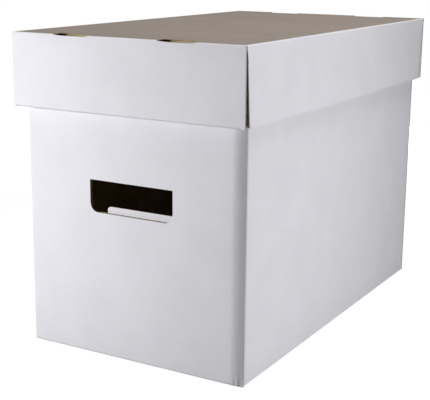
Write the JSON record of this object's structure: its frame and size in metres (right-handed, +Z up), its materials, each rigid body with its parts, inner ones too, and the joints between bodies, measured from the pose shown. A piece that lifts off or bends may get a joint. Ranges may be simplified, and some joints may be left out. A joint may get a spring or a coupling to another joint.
{
  "type": "storage box with lid",
  "caption": "White corrugated-board storage box for upright magazines, with a hand hole in each end and a lift-off lid folded from a second sheet.",
  "frame": {"origin": "centre of the base's underside, on the floor", "axes": "+X across the box, +Y along it from the front end to the rear end, +Z up"},
  "size_m": [0.2384, 0.4242, 0.2942],
  "materials": {
    "white_board": "matt white-lined corrugated board",
    "grey_board": "matt warm-grey lined corrugated board",
    "kraft_board": "matt tan kraft side of the board"
  },
  "bodies": {
    "base": {"bottom_panel": "white_board", "left_side_wall": "white_board", "right_side_wall": "white_board", "front_outer_end": "white_board", "rear_outer_end": "white_board", "front_inner_end": "white_board", "rear_inner_end": "white_board", "front_top_roll": "white_board", "rear_top_roll": "white_board", "front_right_corner_flap": "white_board", "front_left_corner_flap": "white_board", "rear_left_corner_flap": "white_board", "rear_right_corner_flap": "white_board"},
    "front_grip": {"front_grip_flap": "kraft_board"},
    "rear_grip": {"rear_grip_flap": "kraft_board"},
    "lid": {"lid_top_panel": "grey_board", "lid_left_skirt": "white_board", "lid_right_skirt": "white_board", "lid_front_outer_skirt": "white_board", "lid_rear_outer_skirt": "white_board", "lid_front_inner_skirt": "kraft_board", "lid_rear_inner_skirt": "kraft_board", "lid_front_roll": "white_board", "lid_rear_roll": "white_board", "lid_front_right_corner_tab": "white_board", "lid_front_left_corner_tab": "white_board", "lid_rear_left_corner_tab": "white_board", "lid_rear_right_corner_tab": "white_board"}
  },
  "joints": [
    {"name": "lid_lift", "type": "slide", "parent": "base", "child": "lid", "axis": [0, 0, 1], "range_m": [0, 0.18]},
    {"name": "front_grip_fold", "type": "hinge", "parent": "base", "child": "front_grip", "pos_m": [0, -0.1905, 0.1649], "axis": [-1, 0, 0], "range_deg": [0, 180]},
    {"name": "rear_grip_fold", "type": "hinge", "parent": "base", "child": "rear_grip", "pos_m": [0, 0.1905, 0.1649], "axis": [1, 0, 0], "range_deg": [0, 180]}
  ]
}
